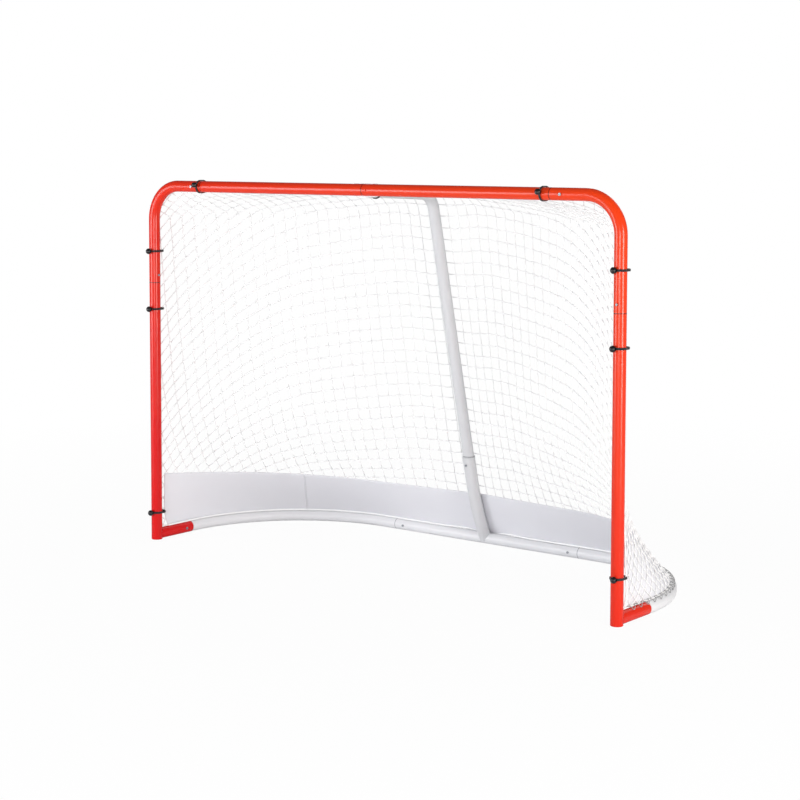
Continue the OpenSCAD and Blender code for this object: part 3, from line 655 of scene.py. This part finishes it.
def cord_material(name, colour, shade, pitch):
    """Braided polyester cord: fine ribs across the strand, matt, with painted shade in the grooves between
    them and the rib tops painted lighter.
    """
    material, tree, place = new_material(name)
    turned = add(tree, "ShaderNodeMapping", {"Vector": place, "Rotation": (0.6, 0.4, 0.78)}).outputs[0]
    ribs = add(tree, "ShaderNodeTexWave", {
        "Vector": turned, "Scale": wave_per_metre / pitch, "Distortion": 2.0, "Detail": 1.0}).outputs[1]
    dirt = add(tree, "ShaderNodeTexNoise", {"Vector": place, "Scale": 30.0}).outputs[0]
    # painted shade: the grooves between the ribs take the shade colour, the rib tops the cord's own colour
    tone = blend(tree, calc(tree, "MULTIPLY", ribs, dirt), linear(shade), linear(colour))
    set_surface(tree, tone, roughness=0.75, height=ribs, strength=0.3, distance=0.0004,
                **{"Sheen Weight": 0.15})
    return material


def piece_from(name, verts, faces, material):
    """A smooth object from vertices and faces."""
    mesh = bpy.data.meshes.new(name)
    mesh.from_pydata([tuple(v) for v in verts], [], faces)
    mesh.materials.append(material)
    mesh.shade_smooth()
    made = bpy.data.objects.new(name, mesh)
    bpy.context.collection.objects.link(made)
    return made


knot_r = 0.0031
knot_flat = 0.62
give_by = 0.0012                        # how far a thread's middle strays and sags
near_tube = 0.03                        # the share of s next to a tube, where it strays less
white_cord = cord_material("white_braided_cord", "#fefefd", "#f0f0f0", 0.0016)
slack = np.random.default_rng(7)
for side, name in ((-1, "left"), (1, "right")):
    own = [pair for pair in threads if side > 0 or not (pair[0][0] == 0 and pair[1][0] == 0)]
    a = np.array([pair[0] for pair in own])
    b = np.array([pair[1] for pair in own])
    middle = (a + b) / 2
    start, end = surface(a[:, 0], a[:, 1]), surface(b[:, 0], b[:, 1])
    through = surface(middle[:, 0], middle[:, 1])
    out = surface_out(middle[:, 0], middle[:, 1])
    give = slack.normal(0, give_by, (len(own), 3))
    give -= (give * out).sum(1, keepdims=True) * out
    give[:, 2] -= give_by
    on_tube = np.minimum(middle[:, 0], 1 - middle[:, 0]) < near_tube
    through = through + give * np.where(on_tube, 0.2, 1.0)[:, None]
    spots = np.array([place for (k, m), place in knots.items() if side > 0 or k > 0])
    knot_places, knot_outs = surface(spots[:, 0], spots[:, 1]), surface_out(spots[:, 0], spots[:, 1])
    along = np.linspace(0, 1, 260)
    one = np.ones_like(along)
    verts, faces = joined(short_tubes(start, through, end, cord_r, 6),
                          lumps(knot_places, knot_outs, knot_r, knot_flat),
                          rope(surface(along, 0 * one), edge_rope_r),
                          rope(surface(one, along), edge_rope_r),
                          rope(surface(along, one), edge_rope_r))
    verts = np.array(verts) * (side, 1, 1) + (0, mouth_y, 0)
    if side < 0:
        faces = [face[::-1] for face in faces]
    net = piece_from("knotted_net_" + name, verts, faces, white_cord)
    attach(net, "goal")
    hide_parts("net_roof_" + name, "net_back_" + name)

# ---------------------------------------------------------------------------
# Skirt: three lengths of grey-white coated cloth, end to end, hung inside the
# net down to the base tube. A white corded hem runs along the bottom of each,
# on the tube's top. The cloth's top edge rises a little towards the posts.

skirt_cloth, tree, place = new_material("coated_polyester_cloth")
# a plain weave of 1.2 mm threads, drawn on the two ways that the cloth runs
thread_bands = {"Vector": place, "Scale": wave_per_metre / 0.0012}
rise = add(tree, "ShaderNodeTexWave", thread_bands, bands_direction="Z").outputs[1]
run = add(tree, "ShaderNodeTexWave", thread_bands, bands_direction="DIAGONAL").outputs[1]
soil = add(tree, "ShaderNodeTexNoise", {"Vector": place, "Scale": 4.0, "Detail": 3.0}).outputs[0]
tone = blend(tree, soil, linear("#e2e2e6"), linear("#dadadf"))
weave = calc(tree, "ADD", rise, run)
set_surface(tree, tone, roughness=0.62, height=weave, strength=0.15, distance=0.0003,
            **{"Sheen Weight": 0.1})

seam_s = 0.55
seam_reach = 0.15
end_s = 0.98
skirt_top_z = 0.183
skirt_top_rise = 0.045
skirt_in = cord_r + net_gap + skirt_t / 2


def skirt_point(s, t, inwards):
    """A place on the cloth, or so far inwards of it; s below 0 is on the left."""
    m = np.abs(s)
    p = surface(m, t) - (skirt_in + inwards) * surface_out(m, t)
    p[..., 0] *= np.where(s < 0, -1, 1)
    return p + (0, mouth_y, 0)


def down_column(s, v):
    """The net's t at v of the way from the skirt's top edge to the base, in column s."""
    z = surface(np.full_like(t_grid, s), t_grid)[:, 2]
    return float(np.interp(-mix(skirt_top_z + skirt_top_rise * s ** 1.5, z[-1], v), -z, t_grid))


def seam_line(s, rows):
    """s down a seam that rises square to the base tube, at each of the given rows."""
    foot = surface(s, 1.0)
    way = surface(s + 0.002, 1.0) - foot
    near = np.linspace(s - seam_reach, s + seam_reach, 25)
    line = []
    for v in rows:
        t = np.array([down_column(n, v) for n in near])
        ahead = ((surface(near, t) - foot) * way)[:, :2].sum(1)
        line.append(float(np.interp(0, ahead, near)))
    return np.array(line)


def cloth_sheet(name, start, end, columns, rows):
    """A length of cloth on the net's inside, whose ends follow the given s down the rows."""
    v = np.linspace(0, 1, rows + 1)
    u = np.linspace(0, 1, columns + 1)[None, :]
    s = mix(start[:, None], end[:, None], u)
    t = np.array([[down_column(abs(one), level) for one in line] for level, line in zip(v, s)])
    inner, outer = (skirt_point(s, t, way * skirt_t / 2).reshape(-1, 3) for way in (1, -1))
    wide = columns + 1
    n = len(inner)
    faces = []
    for a in (j * wide + i for j in range(rows) for i in range(columns)):
        b, c, d = a + 1, a + wide + 1, a + wide
        faces += [(a, b, c, d), (n + a, n + d, n + c, n + b)]
    rim = (list(range(columns)) + [columns + j * wide for j in range(rows)]
           + [rows * wide + columns - i for i in range(columns)] + [(rows - j) * wide for j in range(rows)])
    faces += [(b, a, n + a, n + b) for a, b in zip(rim, rim[1:] + rim[:1])]
    return piece_from(name, np.vstack([inner, outer]), faces, skirt_cloth)


skirt_rows = 24
hem_r = 0.0030
hem_off = tube_r + 0.0013 + hem_r       # from the base tube's axis to the middle of the hem
hem_turn = 0.28                         # radians from the net's edge, over the tube's top
hem_cord = cord_material("white_hem_binding", "#ffffff", "#fdfdfd", 0.0016)
seam = seam_line(seam_s, np.linspace(0, 1, skirt_rows + 1))
post_end = np.full(skirt_rows + 1, end_s)
slit = 0.0001
for name, start, end, columns in (("left", -post_end, -seam - slit, 100),
                                  ("rear", slit - seam, seam - slit, 160),
                                  ("right", seam + slit, post_end, 100)):
    sheet = cloth_sheet("skirt_cloth_" + name, start, end, columns, skirt_rows)
    along = np.linspace(start[-1], end[-1], 2 * columns)
    m = np.abs(along)
    line = off_base(m, wrap(m) + hem_turn, hem_off)
    line[:, 0] *= np.sign(along)
    hem = piece_from("skirt_hem_" + name, *rope(line + (0, mouth_y, 0), hem_r), hem_cord)
    for piece in (sheet, hem):
        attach(piece, "goal")
    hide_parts("skirt_" + name)

# ---------------------------------------------------------------------------
# Lacing: one cord, drawn grey as painted shade, that goes through the bottom edge of the net and
# over the upper outer side of the base tube, all the way from one foot to the other.

lace_r = 0.0011
lace_gap = 0.0004
lace_pitch = 0.040
lace_end = 0.030
lace_drop = math.radians(38)
lace_rise = 2.4                         # how soon it climbs from the tube to the net's edge
lace_steps = 10
# painted shade: the lacing cord is drawn grey, darker than the white net cord
lace_cord = cord_material("lacing_cord_painted_shade", "#b0b0ae", "#8c8c8d", 0.0016)
lace_turns = int(2 * (edge_run - lace_end) // lace_pitch)
low_off = tube_r + lace_r + lace_gap
high_off = hem_lay + edge_rope_r + lace_r + lace_gap
lace = []
for i in range(2 * lace_turns * lace_steps + 1):
    phase = i / lace_steps
    s = (phase / lace_turns - 1) * (1 - lace_end / edge_run)
    m = abs(s)
    high = 0.5 + 0.5 * math.cos(math.pi * phase)
    angle = float(wrap(m)) - lace_drop * (1 - high)
    p = off_base(np.float64(m), angle, mix(low_off, high_off, min(1, high * lace_rise)))
    lace.append((math.copysign(p[0], s), p[1] + mouth_y, p[2]))
lacing = piece_from("base_lacing_cord", *rope(lace, lace_r, 6), lace_cord)
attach(lacing, "goal")
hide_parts("base_lacing")

# ---------------------------------------------------------------------------
# Ball ties: a loop of black elastic cord, doubled round the tube and the net's
# edge, with both ends knotted inside a glossy black plastic ball.

ball_plastic, tree, place = new_material("black_moulded_plastic")
scuffs = add(tree, "ShaderNodeTexNoise", {"Vector": place, "Scale": 260.0, "Detail": 4.0}).outputs[0]
tone = blend(tree, scuffs, linear("#0d0d0f"), linear("#1b1b1e"))
set_surface(tree, tone, roughness=0.09, height=scuffs, strength=0.06, distance=0.0004)
elastic = cord_material("black_elastic_cord", "#26262a", "#101012", 0.0012)

tie_r = 0.00175
ball_r = 0.010
tie_gap = 0.0003
loop_r = tube_r + tie_gap + tie_r
ball_off = tube_r + tie_gap + ball_r

# a sphere with a mouth for the cord sunk into each pole
bpy.ops.object.select_all(action="DESELECT")
bpy.ops.mesh.primitive_uv_sphere_add(segments=40, ring_count=24, radius=ball_r)
ball = bpy.context.object
bpy.ops.object.mode_set(mode="EDIT")
bpy.ops.mesh.select_all(action="DESELECT")
bpy.ops.object.mode_set(mode="OBJECT")
for face in ball.data.polygons:
    face.select = abs(face.center.z) > ball_r * 0.93
bpy.ops.object.mode_set(mode="EDIT")
bpy.ops.mesh.dissolve_limited(angle_limit=math.radians(60))
bpy.ops.mesh.inset(thickness=0.0006)
bpy.ops.mesh.extrude_region_move(TRANSFORM_OT_translate={"value": (0, 0, 0)})
bpy.ops.transform.resize(value=(0.85, 0.85, 0.72))
bpy.ops.object.mode_set(mode="OBJECT")
bpy.ops.object.shade_smooth_by_angle(angle=math.radians(40))


def loop_line(reach, gap):
    """A closed loop round the tube at the origin, whose axis is Z, out to the net's edge at +Y."""
    half = np.linspace(0, math.pi, 33)
    near = np.stack([-loop_r * np.cos(half), -loop_r * np.sin(half), 0 * half + gap], -1)
    far = np.stack([loop_r * np.cos(half), reach + loop_r * np.sin(half), 0 * half + gap], -1)
    return np.vstack([near, far, near[:1]])


def ball_tie(node, place, tube_way, reach_way, reach, ball_turn):
    """One tie: its two strands, and its ball, turned by so many degrees from the tube's front."""
    axis_z = Vector(tube_way).normalized()
    axis_y = Vector(reach_way).normalized()
    here = Matrix.Translation(place) @ Matrix((axis_y.cross(axis_z), axis_y, axis_z)).transposed().to_4x4()
    strands = []
    for side in (-1, 1):
        verts, faces = rope(loop_line(reach, side * (tie_r + 0.0001)), tie_r, 10)
        strands.append(([here @ Vector(v) for v in verts], faces))
    cord = piece_from(node + "_cord", *joined(*strands), elastic)
    bead_mesh = ball.data.copy()
    out = Matrix.Rotation(math.radians(ball_turn), 4, "Z") @ Vector((0, -ball_off, 0))
    bead_mesh.transform(here @ Matrix.Translation(out) @ Matrix.Rotation(math.radians(90), 4, "Y"))
    bead_mesh.materials.clear()
    bead_mesh.materials.append(ball_plastic)
    bead = bpy.data.objects.new(node + "_ball", bead_mesh)
    bpy.context.collection.objects.link(bead)
    for piece in (cord, bead):
        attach(piece, "goal")
        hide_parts(node)


edge_reach = 0.012
top_reach = 0.003
for side, sign, ties in (("left", -1, (("high", 1.012, 0), ("middle", 0.811, 0), ("low", 0.096, 0))),
                         ("right", 1, (("high", 1.026, -12), ("middle", 0.803, -12), ("low", 0.139, 10)))):
    for level, z, turn in ties:
        ball_tie(f"tie_{side}_{level}", (sign * post_x, mouth_y, z), (0, 0, 1), (0, 1, 0), edge_reach, turn)
for side, x in (("left", -0.713), ("right", 0.670)):
    ball_tie("tie_crossbar_" + side, (x, mouth_y, bar_z), (1, 0, 0), (0, 1, 0), edge_reach, -12)
top_tie_y = 0.057
ball_tie("tie_top_tube", (0, mouth_y + top_tie_y, top_start_z - top_tie_y * math.tan(top_fall)),
         (0, math.cos(top_fall), -math.sin(top_fall)), (0, math.sin(top_fall), math.cos(top_fall)),
         top_reach, 90)
bpy.data.objects.remove(ball)
